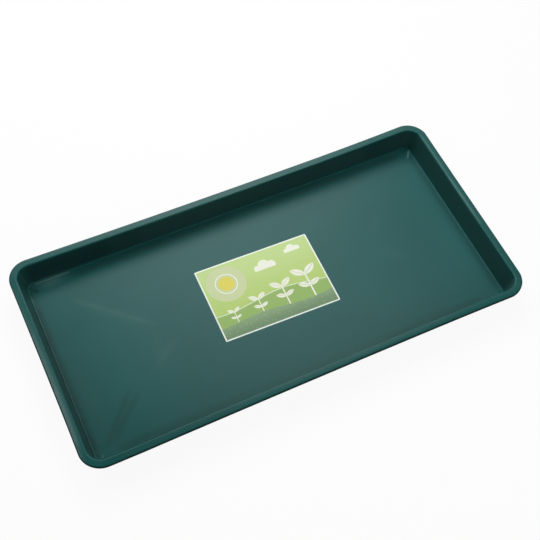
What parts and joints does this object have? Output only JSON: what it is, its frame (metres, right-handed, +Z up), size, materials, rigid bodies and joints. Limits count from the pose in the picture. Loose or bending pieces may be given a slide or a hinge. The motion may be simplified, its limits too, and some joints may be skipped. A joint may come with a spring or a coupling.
{
  "type": "potting soil tray",
  "caption": "Shallow rectangular plastic tray with a flat rim, drafted walls and a printed label on its floor, for potting work and for standing plant pots in.",
  "frame": {"origin": "middle of the underside of the floor, on the surface that the tray stands on", "axes": "+X along the tray's length, +Y across it towards the long side that is at the back in the picture, +Z up out of the mouth"},
  "size_m": [0.79, 0.4, 0.046],
  "materials": {
    "tray": "satin dark green polymer, as formed",
    "label_adhesive": "clear acrylic glue film",
    "label_sheet": "printed coated paper, white border"
  },
  "bodies": {
    "root": {"tray": "tray", "label_adhesive": "label_adhesive", "label_sheet": "label_sheet"}
  },
  "joints": []
}
